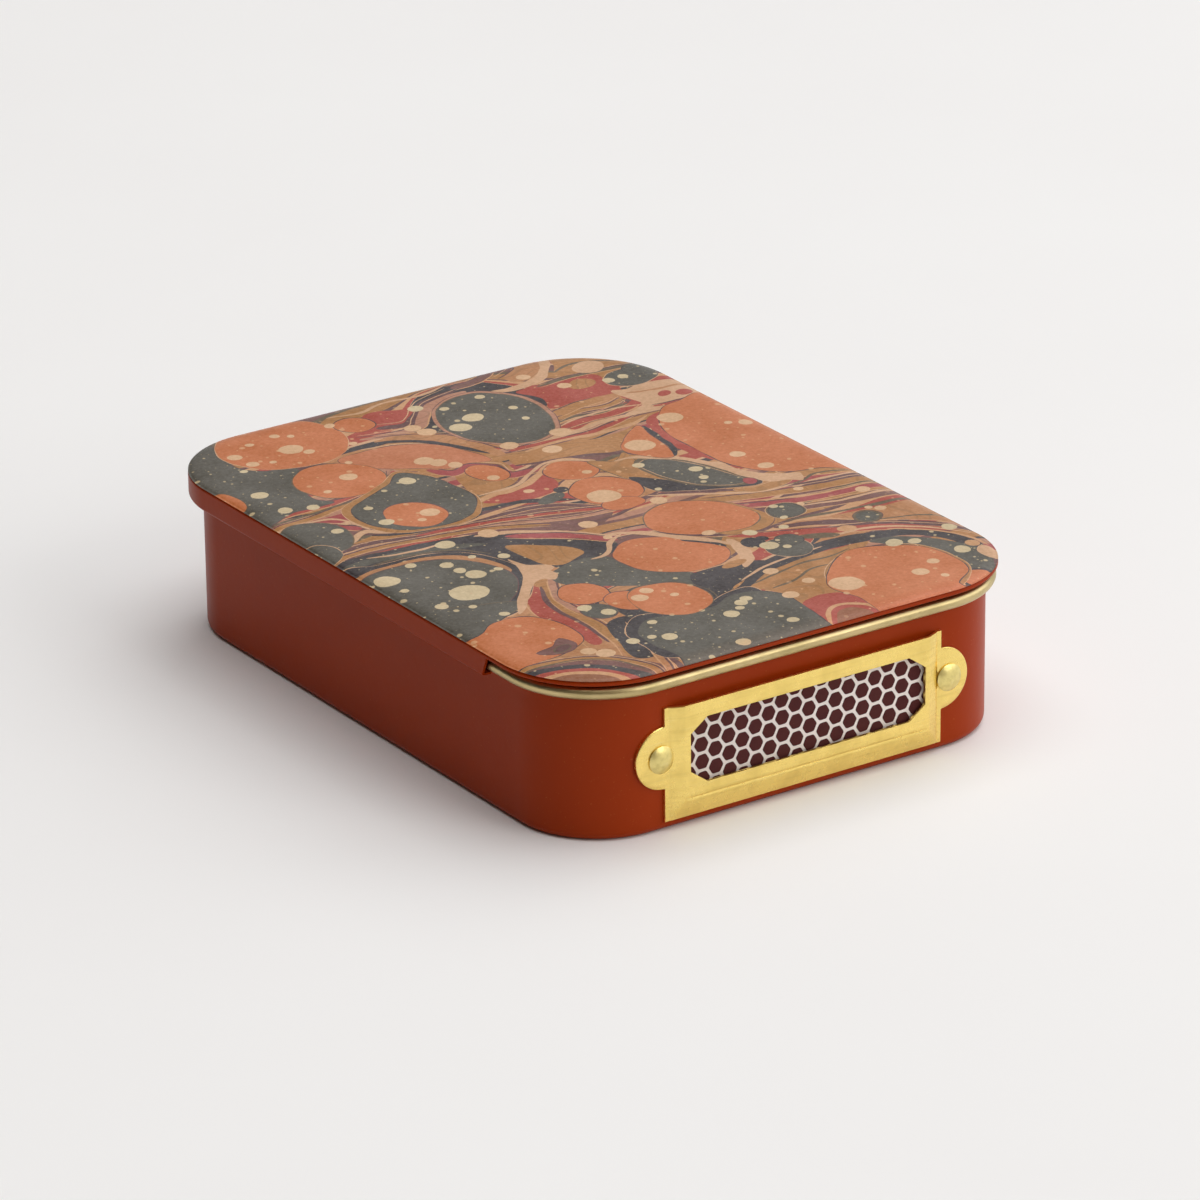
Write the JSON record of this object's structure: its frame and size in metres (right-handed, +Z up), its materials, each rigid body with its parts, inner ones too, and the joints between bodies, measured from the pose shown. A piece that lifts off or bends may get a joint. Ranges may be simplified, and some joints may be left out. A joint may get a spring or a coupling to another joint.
{
  "type": "matchbox holder",
  "caption": "Slide-top tin for loose matches, with a marbled paper lid and a riveted brass label frame that holds a striker card.",
  "frame": {"origin": "bottom centre of the tin, on the plane that it stands on", "axes": "+Z up; -Y towards the wall with the label frame; +Y the way the lid slides off; +X to the right of somebody who faces the label"},
  "size_m": [0.0632, 0.0854, 0.0194],
  "materials": {
    "tin_body": "satin rust red paint outside, gold lacquer on the bead and inside",
    "slide_lid": "satin rust red paint",
    "marbled_paper": "marbled in dark green, salmon, ochre and burgundy under a semi-gloss coat",
    "label_frame": "satin, lightly tarnished",
    "striker_card": "matte off-white",
    "striker_patches": "matte dark red-brown, slightly gritty",
    "rivets": "satin pale brass"
  },
  "bodies": {
    "tin": {"tin_body": "tin_body", "label_frame": "label_frame", "striker_card": "striker_card", "striker_patches": "striker_patches", "left_rivet": "rivets", "right_rivet": "rivets"},
    "lid": {"slide_lid": "slide_lid", "marbled_paper": "marbled_paper"}
  },
  "joints": [
    {"name": "lid_slide", "type": "slide", "parent": "tin", "child": "lid", "axis": [0, 1, 0], "range_m": [0, 0.07]}
  ]
}
